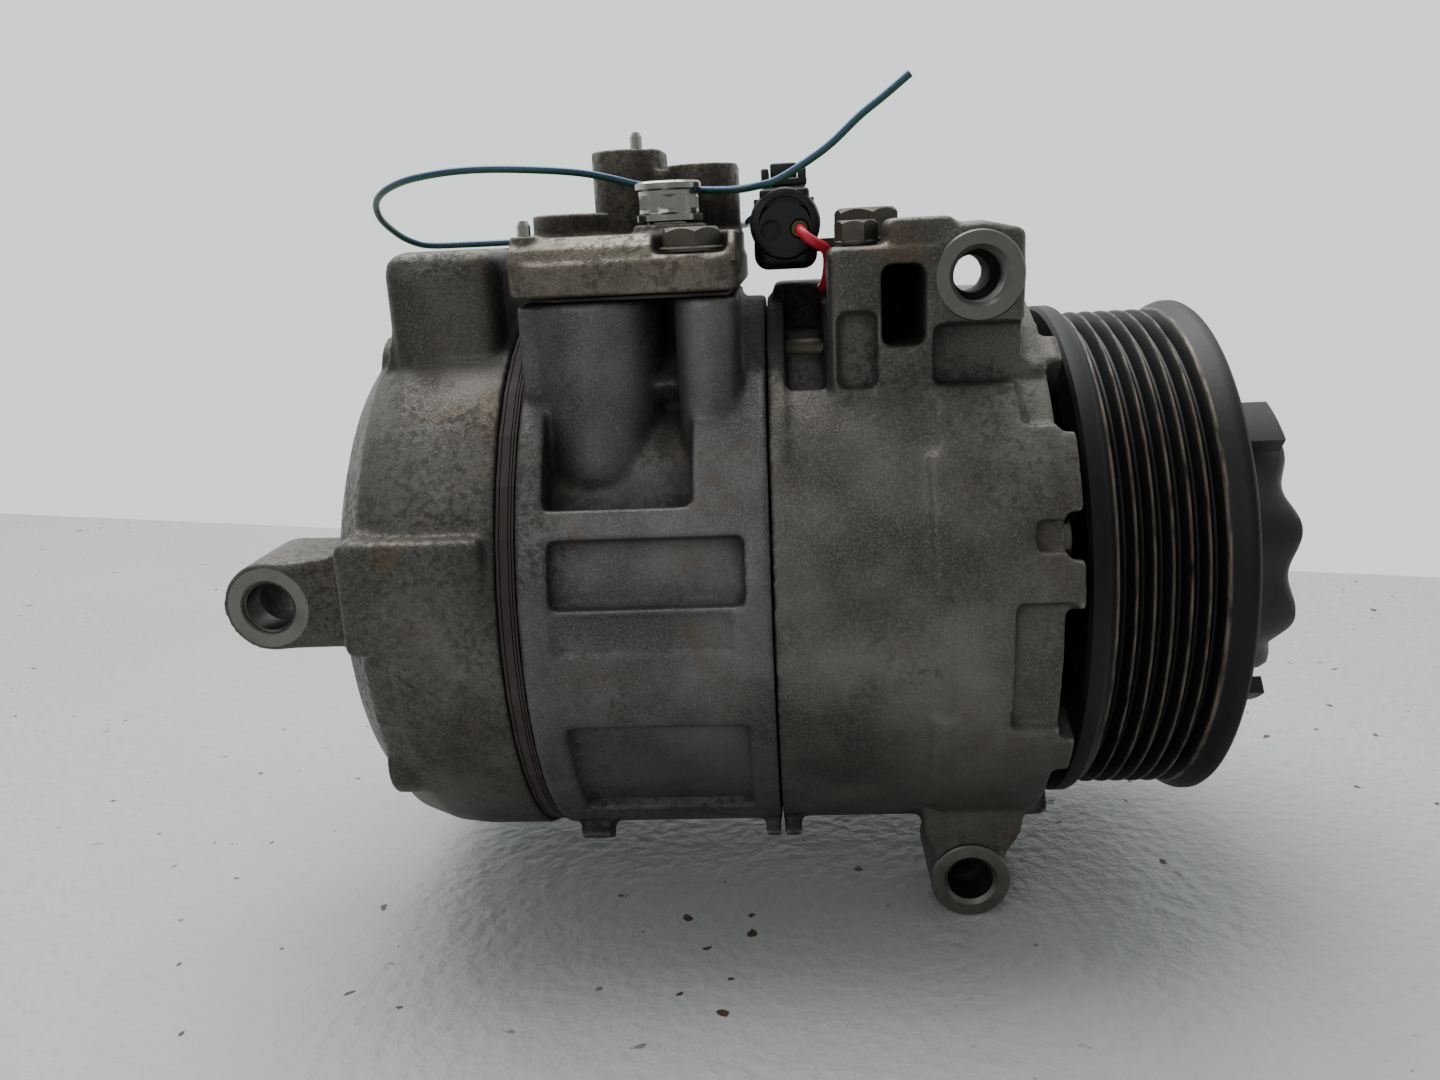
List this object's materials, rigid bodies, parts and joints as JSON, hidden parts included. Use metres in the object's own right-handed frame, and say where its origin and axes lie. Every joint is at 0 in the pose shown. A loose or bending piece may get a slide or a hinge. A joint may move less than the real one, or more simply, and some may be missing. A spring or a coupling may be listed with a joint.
{
  "type": "automotive air conditioning compressor",
  "caption": "Belt-driven swash-plate air conditioning compressor with ribbed pulley, torque-limiting hub, port manifold, mounting lugs and an electrical lead.",
  "frame": {"origin": "centre of the drive shaft's front end face", "axes": "+X along the shaft axis out of the pulley end, +Z towards the port manifold, -Y towards the side that the mounting lugs' machined faces point to"},
  "size_m": [0.2361, 0.129, 0.1809],
  "materials": {
    "cast_aluminium": "as cast, grimy",
    "machined_aluminium": "machined",
    "bright_steel": "bright machined",
    "steel": "satin",
    "bolt_steel": "dull plated",
    "gasket": "matte",
    "black_rubber": "matte",
    "pulley_black": "satin black, belt-worn ribs",
    "black_plastic": "matte",
    "green_rubber": "matte",
    "red_insulation": "smooth",
    "blue_insulation": "smooth"
  },
  "bodies": {
    "housing": {"rear_housing": "cast_aluminium", "cylinder_block": "cast_aluminium", "front_housing": "cast_aluminium", "port_manifold": "cast_aluminium", "piston_1": "machined_aluminium", "piston_2": "machined_aluminium", "piston_3": "machined_aluminium", "piston_4": "machined_aluminium", "piston_5": "machined_aluminium", "piston_6": "machined_aluminium", "piston_7": "machined_aluminium", "dowel_pin_tower": "bright_steel", "dowel_pin_deck": "bright_steel", "relief_valve_body": "bright_steel", "valve_plate": "steel", "suction_reed_plate": "steel", "discharge_reed": "steel", "control_valve_body": "steel", "connector_bracket": "steel", "front_bearing": "steel", "front_thrust_bearing": "steel", "rear_bearing": "steel", "bearing_inner_ring": "steel", "snap_ring": "steel", "through_bolt_1": "bolt_steel", "through_bolt_2": "bolt_steel", "through_bolt_3": "bolt_steel", "through_bolt_4": "bolt_steel", "through_bolt_5": "bolt_steel", "through_bolt_6": "bolt_steel", "through_bolt_7": "bolt_steel", "manifold_bolt_front": "bolt_steel", "manifold_bolt_rear": "bolt_steel", "boss_bolt_front": "bolt_steel", "boss_bolt_rear": "bolt_steel", "rear_gasket": "gasket", "cylinder_gasket": "gasket", "manifold_gasket": "gasket", "housing_o_ring": "black_rubber", "shaft_seal": "black_rubber", "connector_plug": "black_plastic", "connector_latch": "black_plastic", "connector_socket": "black_plastic", "wire_seal": "green_rubber", "lead_wire": "red_insulation", "harness_wire": "blue_insulation"},
    "rotor": {"drive_shaft": "steel", "lug_plate": "steel", "swash_plate": "steel", "hinge_pin": "steel", "return_spring": "steel", "pulley": "pulley_black", "bearing_outer_ring": "steel", "drive_hub": "black_plastic", "damper_ring": "black_rubber", "hub_nut": "bolt_steel"},
    "ball_cage": {"bearing_cage": "steel"},
    "relief_poppet": {"relief_valve_poppet": "steel"},
    "valve_plunger": {"control_valve_plunger": "bright_steel"},
    "check_disc": {"suction_check_valve": "black_plastic"}
  },
  "joints": [
    {"name": "shaft_spin", "type": "hinge", "parent": "housing", "child": "rotor", "pos_m": [0, 0, 0], "axis": [1, 0, 0], "continuous": true},
    {"name": "ball_cage_spin", "type": "hinge", "parent": "housing", "child": "ball_cage", "pos_m": [0, 0, 0], "axis": [1, 0, 0], "continuous": true},
    {"name": "relief_valve_lift", "type": "slide", "parent": "housing", "child": "relief_poppet", "axis": [0, 0, 1], "range_m": [0, 0.0015]},
    {"name": "control_valve_stroke", "type": "slide", "parent": "housing", "child": "valve_plunger", "axis": [0, 0, 1], "range_m": [0, 0.0018]},
    {"name": "check_valve_lift", "type": "slide", "parent": "housing", "child": "check_disc", "axis": [0, 0, 1], "range_m": [0, 0.0045]}
  ],
  "couplings": [
    {"joint": "ball_cage_spin", "follows": "shaft_spin", "ratio": 0.55}
  ]
}
